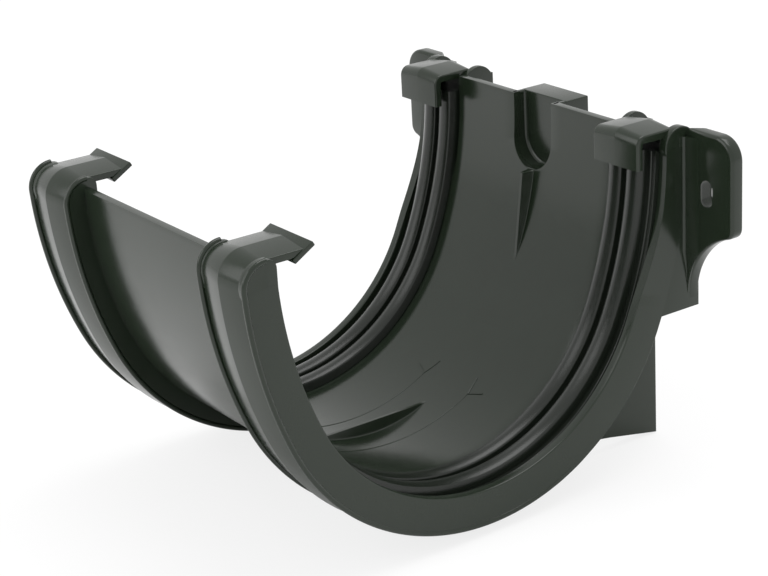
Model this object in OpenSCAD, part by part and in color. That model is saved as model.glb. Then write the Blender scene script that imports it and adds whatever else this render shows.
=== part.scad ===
// Gutter union for a deep half-round rain gutter.
// A bracket screwed to the fascia that joins two lengths of gutter: a short trough between two
// rings, each ring with a rubber seal inside, a snap clip at the front and a hook at the back.
// X runs along the gutter, Y points into the fascia, Z is up. The origin lies on the fascia plane,
// midway between the two fixing slots. Millimetres.

/* [Gutter section] */
// Inside width of the section across the mouth
mouth_w = 116; // [108:1:124]
// How much less the bottom radius is than half the mouth
bottom_less = 5; // [2:0.5:9]
// How much more the radius of the two sides is than half the mouth
side_more = 53; // [35:1:90]
// Wall of the trough between the rings
trough_wall = 2.2; // [1.8:0.1:3]
// How far the trough stands back from the inner edge of the rings
trough_back = 1.8; // [1:0.1:2.4]
// Height of the trough's front rim above the bottom of the section
front_rim_h = 74.3; // [70:0.1:75]
// Height of the trough's rear rim above the bottom of the section
rear_rim_h = 79.6; // [78:0.1:84]

/* [Fixing] */
// From the inner edge of the rear side to the fascia
fascia_gap = 14; // [12.5:0.5:22]
// Height of the fixing slots above the bottom of the section
slot_h = 64; // [62:0.5:68]
// From the middle of the union to each fixing slot
slot_x = 59.7; // [58.5:0.1:61.5]
// Width of a fixing slot
slot_w = 4.8; // [4:0.1:6]
// Length of a fixing slot, up and down
slot_len = 8; // [6.5:0.5:12]

/* [Rings] */
// From the middle of one ring to the middle of the other
ring_spacing = 85; // [75:1:95]
// Width of a ring along the gutter
ring_w = 20; // [18:0.5:23]
// Depth of a ring, from its inner edge out to the top of its beads
ring_d = 9.3; // [8.8:0.1:11]
// Cheek of the ring on the trough's side
cheek_in = 1.8; // [1.4:0.1:2.4]
// Cheek of the ring on its open side
cheek_out = 2.7; // [2:0.1:3.4]
// Outer wall of the ring under the edge of its roof
ring_wall = 2.3; // [1.8:0.1:2.8]
// Width of the bead along each edge of the ring
bead_w = 1.4; // [1:0.1:2]
// Width of the groove between bead and roof
groove_w = 1.8; // [1:0.1:2.4]
// Depth of that groove below the beads
groove_d = 1.1; // [0.5:0.1:1.5]
// How far the roof's edges lie below the beads
roof_drop = 0.4; // [0:0.1:1]
// Rise of the roof from its edges to its ridge
roof_rise = 1.2; // [0.4:0.1:2]
// Radius of the ring's front end
front_tip_r = 6.4; // [5:0.1:7]
// Height of the centre of the front end's radius
front_tip_h = 70.7; // [68:0.1:73]
// Radius of the front end's inner corner
front_corner_r = 2.5; // [1:0.1:2.8]
// Radius of the cheeks' rear end
rear_tip_r = 5.5; // [4.8:0.1:6]
// Height of the centre of the rear end's radius
rear_tip_h = 75.8; // [74:0.1:77]

/* [Seals] */
// Clearance of the seal in its channel
seal_fit = 0.1; // [0.05:0.05:0.3]
// How far the seal's ridges stand in from the inner edge of the ring
seal_proud = 1.5; // [0.5:0.1:2.2]
// Depth of the seal's middle groove below its ridges
seal_groove_d = 2.8; // [1.5:0.1:4]
// Width of the seal's middle groove
seal_groove_w = 1.8; // [1:0.1:2.5]
// Radius across the top of a seal ridge
seal_ridge_r = 4.2; // [3.8:0.1:8]
// Distance of the seal's ends below the ends of its channel
seal_short = 0.7; // [0.3:0.1:2]

/* [Front clips] */
// Reach of the clip's strap behind the front end's centre
strap_reach = 11; // [9:0.5:12.5]
// Thickness of the strap at its edges
strap_t = 1.8; // [1.4:0.1:2.6]
// Width of the clip's plate
plate_w = 18; // [14:0.5:19]
// Length of the clip's plate
plate_len = 6.6; // [5:0.1:8]
// Thickness of the clip's plate
plate_t = 1.3; // [1:0.1:2]
// Slope of the plate, rising towards the fascia
plate_a = 30.5; // [20:0.5:40]

/* [Rear hooks] */
// Width of a hook
hook_w = 16.8; // [14:0.1:17]
// Wall of the hook at its edges
hook_t = 2.2; // [1.6:0.1:2.8]
// Rise of the hook's ridge above its edges
hook_rise = 0.9; // [0.3:0.1:1.6]
// Height of the hook's top at its edges
hook_top_h = 80.6; // [79.6:0.1:84]
// Reach of the lip in front of the ring's inner edge
hook_reach = 5.8; // [4.5:0.1:7]
// Height of the lip's lower edge
lip_low_h = 71.6; // [69:0.1:74]
// Outside radius of the hook's front corner
hook_front_r = 2.6; // [2.4:0.1:3.5]
// How far the hook's rear leg stands in from the roof's edges
hook_inset = 0.15; // [0.05:0.05:0.4]
// Outside radius of the hook's rear corner
hook_rear_r = 3.2; // [3:0.1:4]

/* [Back] */
// Thickness of the fixing ears
ear_t = 4; // [3:0.1:5]
// Height of the ears' top above the bottom of the section
ear_top_h = 80.2; // [78:0.1:84]
// Height of the webs' top above the bottom of the section
web_top_h = 79; // [77:0.1:80]
// From the middle of the union to the end of an ear
ear_x = 69; // [68:0.5:74]
// Radius of the ear's upper corner
ear_top_r = 6.3; // [3:0.1:7]
// Radius of the ear's lower corner
ear_low_r = 3; // [1.5:0.1:4]
// Radius of the hollow sweep under the ear
ear_sweep_r = 21; // [18:0.5:24]
// Fillet between the ear and the ring
ear_fillet = 2; // [0.5:0.1:3]
// Height of the outer web's lower edge
web_low_h = 30.7; // [24:0.1:36]
// Thickness of the foot web beside the trough
foot_t = 3; // [2:0.1:4]
// Drop of the foot web's heel below the bottom of the section
foot_drop = 12.3; // [11:0.1:20]
// Distance in front of the fascia where the foot web's lower edge turns
foot_turn_y = 17; // [12:0.5:24]
// Height that the foot web's lower edge gains on the way to that turn
foot_turn_rise = 3.4; // [1:0.1:6]

/* [Level pocket] */
// Width of the pocket in the middle of the rear wall
pocket_w = 15.8; // [10:0.1:20]
// Height of the bottom of the pocket
pocket_low_h = 59.5; // [52:0.5:64]
// Distance from the pocket's back wall to the fascia
pocket_back = 8; // [6:0.1:9]
// Wall round the pocket
pocket_wall = 1.5; // [1.2:0.1:2.5]

/* [Gutter stops] */
// Height of the bottom stop's crest above the bottom of the section
stop_h = 1.35; // [0:0.05:3]
// Width of a stop at its crest
stop_top_w = 1.2; // [0.8:0.1:2]
// Slope width of each side of a stop for each millimetre of height
stop_flare = 0.75; // [0.3:0.05:1.2]
// Reach of the side stops' upper end in from the inner edge
side_stop_in = 2; // [1:0.1:4]
// Height of the side stops' upper end
side_stop_h = 57.6; // [50:0.1:59]
// Lean of the side stops' crest from vertical
side_stop_a = 9.4; // [5:0.1:14]

/* [Hidden] */
$fn = 96;
body_colour = "#3b403d";
seal_colour = "#2a2c2b";
// Flats round the top of a bead and across a seal ridge
bead_flats = 6;
ridge_flats = 6;
// Amount by which joined shapes run into each other
lap = 0.4;
// Reach of cutting shapes beyond what they cut
clear = 20;
// Swept pieces overlap by this angle, and faces that would coincide lie this step apart
join_a = 0.4;
step = 0.01;

// Inside radii of the bottom and the sides, and the middle's distance from the fascia
bottom_r = mouth_w / 2 - bottom_less;
side_r = mouth_w / 2 + side_more;
fascia_y = mouth_w / 2 + fascia_gap;
// Angle from the bottom at which the bottom radius gives way to the side radius
blend_a = asin((side_r - mouth_w / 2) / (side_r - bottom_r));
// Centre of the side radius, from the middle of the section and above its bottom
side_cy = side_r - mouth_w / 2;
side_ch = bottom_r + (side_r - bottom_r) * cos(blend_a);

ring_half = ring_w / 2;
ring_x = ring_spacing / 2;
groove_floor = ring_d - groove_d;
roof_edge = ring_d - roof_drop;
roof_half = ring_half - bead_w - groove_w;
channel_floor = roof_edge - ring_wall;
channel_in = ring_half - cheek_in;
cheek_edge = trough_back - 2 * step;
channel_out = ring_half - cheek_out;
trough_half = ring_spacing / 2 - ring_half;

// Lean of the side at a height, in degrees from upright
function lean(h) = asin((side_ch - h) / side_r);
// Distance of the side's line from the middle at a height, moved outward by d
function side_y(h, d) = sqrt(pow(side_r + d, 2) - pow(side_ch - h, 2)) - side_cy;

front_lean = lean(front_tip_h);
rear_lean = lean(rear_tip_h);
// Centres of the rings' end radii, from the middle of the section
front_tip_y = side_y(front_tip_h, ring_d - front_tip_r);
rear_tip_y = side_y(rear_tip_h, rear_tip_r + 2 * step);
// Depth inside the ring's outer wall at which the webs behind it begin
web_root = (channel_floor + groove_floor) / 2;

// Local x to Y, local y to Z and local z to X
module along_run() rotate([90, 0, 90]) children();

// Turns a flat shape of Y and Z into a plate between two stations on X
module plate_yz(x0, x1) translate([x0, 0, 0]) along_run() linear_extrude(x1 - x0) children();

// A section carried round the bottom radius, a little past both its ends
module bottom_sweep()
    translate([0, 0, bottom_r])
        along_run() rotate([0, 0, -90 - blend_a - join_a])
            rotate_extrude(angle = 2 * (blend_a + join_a))
                translate([bottom_r, 0]) children();

// A section carried up the rear side, from the end of the bottom radius to a lean
module side_sweep(end_lean)
    translate([0, -side_cy, side_ch])
        along_run() rotate([0, 0, blend_a - 90]) rotate_extrude(angle = 90 - blend_a - end_lean)
            translate([side_r, 0]) children();

// A profile of height above a line (x) and place along the run (y), drawn along +Y from the origin
module strip_back(len) rotate([-90, 0, 0]) linear_extrude(len) rotate(-90) children();

// Round top of the bead on the side of the ring that is 1 or -1, from its outer to its inner flank
function bead(side, grow) = [
    for (i = [0:bead_flats])
        let (a = 90 - 180 * i / bead_flats)
            [ring_d - bead_w / 2 + (bead_w / 2 + grow) * cos(a),
                side * (ring_half - bead_w / 2 + (bead_w / 2 + grow) * sin(a))]
];

function flip(points) = [for (i = [len(points) - 1:-1:0]) points[i]];

// Outer line of a ring, from one end face to the other: beads, grooves and ridged roof
function ring_top(grow) = concat(
    bead(1, grow),
    [
        [groove_floor + grow, ring_half - bead_w - grow], [groove_floor + grow, roof_half + grow],
        [roof_edge + grow, roof_half + grow], [roof_edge + roof_rise + grow, 0],
        [roof_edge + grow, -roof_half - grow], [groove_floor + grow, -roof_half - grow],
        [groove_floor + grow, bead_w - ring_half + grow]
    ],
    flip(bead(-1, grow))
);

// Ring section with the seal's channel, grown all round by a step
module ring_section(grow) polygon(concat(
    ring_top(grow),
    [
        [cheek_edge - grow, -ring_half - grow], [cheek_edge - grow, grow - channel_in],
        [channel_floor - grow, grow - channel_in], [channel_floor - grow, channel_out - grow],
        [-grow, channel_out - grow], [-grow, ring_half + grow]
    ]
));

module ring_sweep() {
    bottom_sweep() ring_section(step);
    side_sweep(rear_lean) ring_section(0);
    mirror([0, 1, 0]) side_sweep(front_lean) ring_section(0);
}

// Front end of a cheek: round outside, with a small round at the inner corner
module front_tip_shape(r) {
    inner_y = side_y(front_tip_h, 2 * step);
    intersection() {
        translate([-front_tip_y, front_tip_h])
            circle(r);
        translate([-front_tip_y - r, front_tip_h - r])
            square([r, 2 * r]);
    }
    translate([-front_tip_y, front_tip_h - r])
        square([front_tip_y - inner_y, 2 * r - front_corner_r]);
    translate([-front_tip_y, front_tip_h])
        square([front_tip_y - inner_y - front_corner_r, r]);
    translate([-inner_y - front_corner_r, front_tip_h + r - front_corner_r])
        circle(front_corner_r);
}

// The ring's section turned over its front end: outer wall and the rims of both cheeks
module front_turn() {
    axis_d = ring_d - front_tip_r;
    translate([0, -front_tip_y, front_tip_h])
        mirror([0, 1, 0]) along_run() rotate([0, 0, -front_lean - 2 * join_a])
            rotate_extrude(angle = 90 + front_lean + 2 * join_a)
                translate([-axis_d, 0])
                    polygon(concat(ring_top(-step), [
                        [axis_d + step, step - ring_half], [axis_d + step, -channel_in - step],
                        [channel_floor + step, -channel_in - step],
                        [channel_floor + step, channel_out + step],
                        [axis_d + step, channel_out + step], [axis_d + step, ring_half - step]
                    ]));
}

// Plates of both cheeks, set a few steps inside the cheeks' faces
module cheek_plates(steps) {
    plate_yz(-ring_half + steps * step, -channel_in - steps * step)
        children();
    plate_yz(channel_out + steps * step, ring_half - steps * step)
        children();
}

module ring_front() {
    front_turn();
    cheek_plates(2)
        front_tip_shape(front_tip_r - 3 * step);
}

// Strap and barb plate that snap over the gutter's front edge
module front_clip() {
    top = front_tip_h + front_tip_r - roof_drop - 2 * step;
    half = roof_half - 2 * step;
    translate([0, -front_tip_y - lap / 4, top - strap_t])
        strip_back(strap_reach + lap / 4) polygon([
            [0, -half], [strap_t, -half], [strap_t + roof_rise, 0], [strap_t, half], [0, half]
        ]);
    translate([0, strap_reach - front_tip_y, top - strap_t / 2])
        rotate([plate_a, 0, 0])
            translate([-plate_w / 2, -plate_len / 2, -plate_t / 2])
                cube([plate_w, plate_len, plate_t]);
}

// Hook section: height above its inner face and place along the run
module hook_section(lift) polygon([
    [lift, -hook_w / 2], [lift + hook_t, -hook_w / 2], [lift + hook_t + hook_rise, 0],
    [lift + hook_t, hook_w / 2], [lift, hook_w / 2]
]);

module rear_hook() {
    lip_y = mouth_w / 2 - hook_reach;
    front_y = lip_y + hook_front_r;
    leg_y = mouth_w / 2 + roof_edge - hook_inset;
    back_y = leg_y - hook_rear_r;
    // Top
    translate([0, front_y, hook_top_h - hook_t])
        strip_back(back_y - front_y) hook_section(0);
    // Front corner and lip
    translate([0, front_y, hook_top_h - hook_front_r])
        mirror([0, 1, 0]) along_run() rotate_extrude(angle = 90) hook_section(hook_front_r - hook_t);
    translate([0, lip_y + hook_t, lip_low_h])
        linear_extrude(hook_top_h - hook_front_r - lip_low_h) rotate(-90) hook_section(0);
    // Rear corner, down to the ring's wall
    translate([0, back_y, hook_top_h - hook_rear_r])
        along_run() rotate_extrude(angle = 90) hook_section(hook_rear_r - hook_t);
    translate([0, leg_y - hook_t, rear_tip_h - lap])
        linear_extrude(hook_top_h - hook_rear_r - rear_tip_h + lap) rotate(90) mirror([0, 1])
            hook_section(0);
}

// Outside of the ring at the back, filled out to the fascia, as a flat shape of Y and height
module behind_ring(low_h) difference() {
    translate([0, low_h])
        square([fascia_y, web_top_h - low_h]);
    ring_inside();
}

// What the webs keep clear of: everything within the ring's outer wall
module ring_inside() {
    section_shape(web_root);
    translate([-mouth_w, side_ch - 2 * lap])
        square([mouth_w * 1.5 + web_root, clear]);
}

// Area inside the section's line moved outward by d
module section_shape(d) {
    intersection() {
        translate([-side_cy, side_ch])
            circle(side_r + d, $fn = 360);
        translate([side_cy, side_ch])
            circle(side_r + d, $fn = 360);
        translate([-mouth_w, bottom_r * (1 - cos(blend_a))  - d * cos(blend_a)])
            square([2 * mouth_w, side_ch]);
    }
    translate([0, bottom_r])
        circle(bottom_r + d, $fn = 360);
}

// Web on the ring's open side, level with its end face
module outer_web() plate_yz(channel_out + 3 * step, ring_half - 3 * step)
    behind_ring(web_low_h);

// Web on the trough's side, with the foot that steadies the union on the wall
module foot_web() plate_yz(3 * step - ring_half, foot_t - ring_half) difference() {
    polygon([
        [fascia_y, -foot_drop], [fascia_y, web_top_h], [0, web_top_h],
        [0, -ring_d / 2], [mouth_w / 4, -ring_d / 2],
        [fascia_y - foot_turn_y, foot_turn_rise - foot_drop]
    ]);
    ring_inside();
}

// Rear ends of the cheeks
module ring_rear() cheek_plates(2)
    translate([rear_tip_y, rear_tip_h])
        circle(rear_tip_r);

// Outline of an ear and the plate behind its ring, seen from the front
module ear_shape() {
    edge_x = ring_x + ring_half;
    sweep_x = edge_x + ear_sweep_r;
    corner_x = ear_x - ear_low_r;
    reach = ear_sweep_r + ear_low_r;
    corner_rise = sqrt(pow(reach, 2) - pow(sweep_x - corner_x, 2));
    sweep_h = web_low_h + 2.6;
    touch_x = corner_x + ear_low_r * (sweep_x - corner_x) / reach;
    difference() {
        translate([ring_x - ring_half, sweep_h])
            square([touch_x - ring_x + ring_half, ear_top_h - ear_top_r - sweep_h]);
        translate([sweep_x, sweep_h])
            circle(ear_sweep_r);
        translate([sweep_x - ear_sweep_r / 2, sweep_h - clear])
            square([ear_sweep_r, clear + corner_rise / 2]);
    }
    translate([corner_x, sweep_h + corner_rise])
        circle(ear_low_r);
    translate([corner_x, sweep_h + corner_rise])
        square([ear_low_r, ear_top_h - ear_top_r - sweep_h - corner_rise]);
    translate([ring_x - ring_half, ear_top_h - ear_top_r - lap])
        square([ear_x - ear_top_r - ring_x + ring_half, ear_top_r + lap]);
    translate([ear_x - ear_top_r, ear_top_h - ear_top_r])
        circle(ear_top_r);
}

module slot_shape() {
    straight = (slot_len - slot_w) / 2;
    translate([-slot_w / 2, -straight])
        square([slot_w, 2 * straight]);
    for (s = [-1, 1])
        translate([0, s * straight])
            circle(d = slot_w);
}

// Ear with its fixing slot
module ear() {
    edge_x = ring_x + ring_half;
    difference() {
        translate([0, fascia_y, 0])
            rotate([90, 0, 0]) linear_extrude(ear_t) ear_shape();
        translate([slot_x, fascia_y + lap, slot_h])
            rotate([90, 0, 0]) linear_extrude(ear_t + 2 * lap) slot_shape();
    }
    // Fillet where the ear leaves the end face
    translate([edge_x - 2 * step, fascia_y - ear_t, web_low_h + ear_sweep_r / 2])
        linear_extrude(web_top_h - web_low_h - ear_sweep_r / 2) difference() {
            translate([-lap, -ear_fillet])
                square([ear_fillet + lap, ear_fillet + lap]);
            translate([ear_fillet, -ear_fillet])
                circle(ear_fillet);
        }
}

// A whole ring at its place on the +X side, with clip, hook, webs and ear
module ring() {
    translate([ring_x, 0, 0]) {
        ring_sweep();
        ring_front();
        ring_rear();
        front_clip();
        rear_hook();
        outer_web();
        foot_web();
    }
    ear();
}

// Box behind the trough that carries the level pocket
module pocket_block() {
    half = pocket_w / 2 + pocket_wall;
    low = pocket_low_h - pocket_wall;
    translate([-half, side_y(low, trough_back + trough_wall) - trough_wall / 2, low])
        cube([2 * half, fascia_y - side_y(low, trough_back + trough_wall) + trough_wall / 2,
            rear_rim_h - low]);
}

module pocket_cut() {
    r = pocket_w / 2;
    translate([0, fascia_y - pocket_back, 0])
        rotate([90, 0, 0]) linear_extrude(clear) {
            translate([0, pocket_low_h + r])
                circle(r);
            translate([-r, pocket_low_h + r])
                square([pocket_w, rear_rim_h]);
        }
}

// Hollow in the pocket block, open downward
module pocket_core() {
    half = pocket_w / 2 - pocket_wall / 2;
    translate([-half, fascia_y - pocket_back + trough_wall, pocket_low_h - clear])
        cube([2 * half, pocket_back - trough_wall - pocket_wall,
            rear_rim_h - trough_wall - pocket_low_h + clear]);
}

module trough_section(grow) translate([trough_back - grow, -trough_half - lap - grow])
    square([trough_wall + 2 * grow, 2 * (trough_half + lap + grow)]);

module trough() {
    bottom_sweep() trough_section(step);
    side_sweep(lean(min(rear_rim_h, side_ch))) trough_section(0);
    mirror([0, 1, 0]) side_sweep(lean(front_rim_h)) trough_section(0);
    // Upright part of the rear wall, where its rim is above the middle of the side's radius
    half = trough_half + lap - step;
    upright = rear_rim_h - side_ch;
    if (upright > 0)
        translate([-half, mouth_w / 2 + trough_back + step, side_ch - lap])
            cube([2 * half, trough_wall - 2 * step, upright + lap]);
}

// Wedge with a narrow crest along +Z, standing out along -Y from the origin
module stop_wedge(len, height) linear_extrude(len) polygon([
    [-stop_top_w / 2, 0], [stop_top_w / 2, 0],
    [stop_top_w / 2 + height * stop_flare, height], [-stop_top_w / 2 - height * stop_flare, height]
]);

// Stops in the middle of the trough, which the ends of the gutter meet
module stops() {
    depth = 8;
    intersection() {
        union() {
            translate([0, -mouth_w / 2, stop_h])
                rotate([-90, 0, 0]) stop_wedge(mouth_w, depth);
            for (s = [0, 1])
                mirror([0, s, 0])
                    translate([0, side_y(side_stop_h, -side_stop_in), side_stop_h])
                        rotate([180 - side_stop_a, 0, 0]) mirror([0, 1, 0])
                            stop_wedge(side_stop_h, depth);
        }
        plate_yz(-clear, clear)
            section_shape(trough_back + trough_wall / 2);
    }
}

module union_body() color(body_colour) translate([0, -fascia_y, -slot_h]) {
    difference() {
        union() {
            trough();
            pocket_block();
        }
        pocket_cut();
        pocket_core();
    }
    stops();
    ring();
    mirror([1, 0, 0]) ring();
}

// Fall of a seal ridge's round top at a distance from its middle
function ridge_fall(across) = seal_ridge_r - sqrt(pow(seal_ridge_r, 2) - pow(across, 2));

// Top line of a seal ridge round a middle, on the side of the ring that is 1 or -1
function ridge(middle, ridge_w, side, grow) = [
    for (i = [0:ridge_flats])
        let (across = (ridge_w + 2 * grow) * (i / ridge_flats - 0.5))
            [ridge_fall(across) - seal_proud - grow, side * (middle + across)]
];

// Seal section: two round ridges over a base that fills the channel, grown all round by a step
module seal_section(side, grow) {
    low = -channel_in + seal_fit;
    high = channel_out - seal_fit;
    ridge_w = (high - low - seal_groove_w) / 2;
    valley = seal_groove_d - seal_proud - grow;
    floor_d = channel_floor - seal_fit + grow;
    polygon(concat(
        ridge(low + ridge_w / 2, ridge_w, side, grow),
        [[valley, side * (low + ridge_w + grow)], [valley, side * (high - ridge_w - grow)]],
        ridge(high - ridge_w / 2, ridge_w, side, grow),
        [[floor_d, side * (high + grow)], [floor_d, side * (low - grow)]]
    ));
}

// A seal on the side that is 1 or -1
module seal(side) color(seal_colour) translate([side * ring_x, -fascia_y, -slot_h]) {
    bottom_sweep() seal_section(side, step);
    side_sweep(lean(rear_tip_h - seal_short)) seal_section(side, 0);
    mirror([0, 1, 0]) side_sweep(lean(front_tip_h - seal_short)) seal_section(side, 0);
}

module right_seal() seal(1);
module left_seal() seal(-1);

union_body();
left_seal();
right_seal();
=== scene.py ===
"""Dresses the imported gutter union: smooth mouldings, rubber seals, plain studio."""
import math

import bmesh
import bpy
import numpy as np
from mathutils import Matrix, Vector
from mathutils.geometry import tessellate_polygon


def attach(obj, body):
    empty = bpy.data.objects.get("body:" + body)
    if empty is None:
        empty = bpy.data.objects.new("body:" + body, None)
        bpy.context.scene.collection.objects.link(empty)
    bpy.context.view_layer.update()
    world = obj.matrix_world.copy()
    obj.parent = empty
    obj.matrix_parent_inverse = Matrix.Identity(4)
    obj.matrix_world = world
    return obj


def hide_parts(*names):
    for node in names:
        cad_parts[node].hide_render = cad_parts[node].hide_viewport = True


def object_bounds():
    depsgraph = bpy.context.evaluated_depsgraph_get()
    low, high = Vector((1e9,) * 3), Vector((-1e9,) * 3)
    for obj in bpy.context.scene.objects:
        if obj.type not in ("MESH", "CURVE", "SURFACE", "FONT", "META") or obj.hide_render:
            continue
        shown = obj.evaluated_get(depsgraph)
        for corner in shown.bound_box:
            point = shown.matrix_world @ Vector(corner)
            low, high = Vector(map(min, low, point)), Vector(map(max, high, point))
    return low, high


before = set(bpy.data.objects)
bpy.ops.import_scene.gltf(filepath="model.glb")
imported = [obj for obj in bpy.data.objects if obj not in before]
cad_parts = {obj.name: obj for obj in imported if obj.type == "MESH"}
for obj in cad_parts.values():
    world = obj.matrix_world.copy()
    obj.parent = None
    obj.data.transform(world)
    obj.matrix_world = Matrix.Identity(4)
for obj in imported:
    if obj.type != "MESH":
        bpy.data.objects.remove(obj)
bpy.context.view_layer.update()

# Sizes in millimetres, as the part's source names them
MOUTH_W, BOTTOM_R, SIDE_R = 116.0, 53.0, 111.0
TROUGH_BACK, TROUGH_WALL = 1.8, 2.2
FRONT_RIM_H, REAR_RIM_H = 74.3, 79.6
FASCIA_Y, SLOT_H, SLOT_X, SLOT_W, SLOT_LEN = 72.0, 64.0, 59.7, 4.8, 8.0
RING_X, RING_HALF, RING_D = 42.5, 10.0, 9.3
CHEEK_IN, CHEEK_OUT, RING_WALL = 1.8, 2.7, 2.3
BEAD_W, GROOVE_W, GROOVE_D, ROOF_DROP, ROOF_RISE = 1.4, 1.8, 1.1, 0.4, 1.2
FRONT_TIP_R, FRONT_TIP_H, FRONT_CORNER_R = 6.4, 70.7, 2.5
REAR_TIP_R, REAR_TIP_H = 5.5, 75.8
SEAL_FIT, SEAL_PROUD, SEAL_GROOVE_D, SEAL_GROOVE_W = 0.1, 1.5, 2.8, 1.8
SEAL_RIDGE_R, SEAL_SHORT = 4.2, 0.7
STRAP_REACH, STRAP_T = 11.0, 1.8
PLATE_W, PLATE_LEN, PLATE_T, PLATE_A = 18.0, 6.6, 1.3, 30.5
HOOK_W, HOOK_T, HOOK_RISE, HOOK_TOP_H, HOOK_REACH = 16.8, 2.2, 0.9, 80.6, 5.8
LIP_LOW_H, HOOK_FRONT_R, HOOK_REAR_R, HOOK_INSET = 71.6, 2.6, 3.2, 0.15
EAR_T, EAR_TOP_H, EAR_X, EAR_TOP_R, EAR_LOW_R = 4.0, 80.2, 69.0, 6.3, 3.0
EAR_SWEEP_R, EAR_FILLET, WEB_LOW_H, WEB_TOP_H = 21.0, 2.0, 30.7, 78.3
FOOT_T, FOOT_DROP, FOOT_TURN_Y, FOOT_TURN_RISE = 3.0, 12.3, 17.0, 3.4
POCKET_W, POCKET_LOW_H, POCKET_BACK, POCKET_WALL = 15.8, 59.5, 8.0, 1.5
STOP_H = 1.35

# The cord that edges a ring, and the roof between the two cords, as the finished piece shows them
CORD_R, CORD_D, CORD_X = 0.75, 9.15, 9.75
ROOF_END, ROOF_LOW, ROOF_SLOPE = 8.6, 9.0, 1.1
REAR_CHEEK_IN_Y, REAR_CHEEK_OUT_Y, REAR_CHEEK_R = 66.7, 66.0, 5.3
CHEEK_LIFT, CHEEK_LIFT_H, CORD_END_H = 3.0, (30.0, 62.0), (0.0, 9.0)
EAR_ROOT_X, EAR_ROOT_Y, EAR_ROOT_R, EAR_START_X, EAR_SLANT = 4.2, 1.8, 0.8, 51.4, 1.1
SEAL_EDGE, SEAL_EDGE_D, SEAL_LIP_R = 3.4, 1.8, 0.4
SIDE_STOP_TOP, SIDE_STOP_A, SIDE_STOP_AT = 59.1, 7.6, (53.9, 49.7)
STOP_TOP_W, STOP_FLARE, STOP_ROOT = 0.9, 0.28, 0.5
LINE_X, POCKET_FILLET = 10.0, 0.7

BLEND = math.asin((SIDE_R - MOUTH_W / 2) / (SIDE_R - BOTTOM_R))
SIDE_CY = SIDE_R - MOUTH_W / 2
SIDE_CH = BOTTOM_R + (SIDE_R - BOTTOM_R) * math.cos(BLEND)
GROOVE_FLOOR = RING_D - GROOVE_D
ROOF_EDGE = RING_D - ROOF_DROP
ROOF_HALF = RING_HALF - BEAD_W - GROOVE_W
CHANNEL_FLOOR = ROOF_EDGE - RING_WALL
CHANNEL_IN = RING_HALF - CHEEK_IN
CHANNEL_OUT = RING_HALF - CHEEK_OUT
TROUGH_HALF = RING_X - RING_HALF + 0.4
AXIS_D = RING_D - FRONT_TIP_R


def lean(h):
    """Lean of the section's side at a height, in radians from upright."""
    return np.arcsin((SIDE_CH - h) / SIDE_R)


def side_y(h, d):
    """Distance of the side's line from the middle at a height, moved outward by d."""
    return np.sqrt((SIDE_R + d) ** 2 - (SIDE_CH - h) ** 2) - SIDE_CY


FRONT_TIP_Y = side_y(FRONT_TIP_H, AXIS_D)
REAR_TIP_Y = side_y(REAR_TIP_H, REAR_TIP_R)


# Outlines and runs

def fillet(corners, radius, steps=5):
    """Closed outline whose corners become arcs of the radius that touch both their sides."""
    p = np.asarray(corners, float)
    r = np.broadcast_to(np.asarray(radius, float), (len(p),))
    back, on = np.roll(p, 1, 0) - p, np.roll(p, -1, 0) - p
    len_back, len_on = np.linalg.norm(back, axis=1), np.linalg.norm(on, axis=1)
    back, on = back / len_back[:, None], on / len_on[:, None]
    half = np.arccos(np.clip((back * on).sum(1), -1, 1)) / 2
    reach = np.minimum(r / np.tan(half), 0.48 * np.minimum(len_back, len_on))
    middle = back + on
    middle /= np.maximum(np.linalg.norm(middle, axis=1), 1e-9)[:, None]
    centre = p + middle * (reach / np.cos(half))[:, None]
    first, last = p + back * reach[:, None] - centre, p + on * reach[:, None] - centre
    turn = np.maximum(math.pi - 2 * half, 1e-6)[:, None]
    t = np.linspace(0, 1, steps + 1)[None]
    a, b = np.sin((1 - t) * turn) / np.sin(turn), np.sin(t * turn) / np.sin(turn)
    arcs = centre[:, None] + a[..., None] * first[:, None] + b[..., None] * last[:, None]
    return arcs.reshape(-1, 2)


def tidy(loop):
    """Closed outline without points that lie on the one before them."""
    gap = np.linalg.norm(loop - np.roll(loop, 1, 0), axis=1)
    return loop[gap > 1e-4]


def shrunk(loop, by):
    """Outline moved in along the mean of its neighbouring sides' normals."""
    side = np.roll(loop, -1, 0) - loop
    side /= np.linalg.norm(side, axis=1)[:, None]
    normal = np.stack([-side[:, 1], side[:, 0]], 1)
    normal = normal + np.roll(normal, 1, 0)
    length = np.linalg.norm(normal, axis=1)
    area = np.sum(loop[:, 0] * np.roll(loop[:, 1], -1) - np.roll(loop[:, 0], -1) * loop[:, 1])
    return loop + normal * (math.copysign(2 * by, area) / np.maximum(length, 0.6) ** 2)[:, None]


def arc(cy, ch, r, first, last, steps):
    """Run round a centre: places r from it, outward directions, and the lowest d allowed."""
    a = np.radians(np.linspace(first, last, steps + 1))
    out = np.stack([np.cos(a), np.sin(a)], 1)
    return np.array([cy, ch]) + r * out, out, np.full(len(a), -r)


def straight(y0, h0, y1, h1, out, steps=1):
    """Run from one point to another with one outward direction."""
    t = np.linspace(0, 1, steps + 1)[:, None]
    place = (1 - t) * np.array([y0, h0]) + t * np.array([y1, h1])
    return place, np.tile(np.array(out, float), (steps + 1, 1)), np.full(steps + 1, -1e3)


def run(*parts):
    """Several runs joined end to end, with the doubled places left out."""
    places, outs, floors = (np.concatenate(column) for column in zip(*parts))
    keep = np.ones(len(places), bool)
    keep[1:] = (np.abs(np.diff(places, axis=0)).sum(1) + np.abs(np.diff(outs, axis=0)).sum(1)) > 1e-5
    return places[keep], outs[keep], floors[keep]


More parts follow.
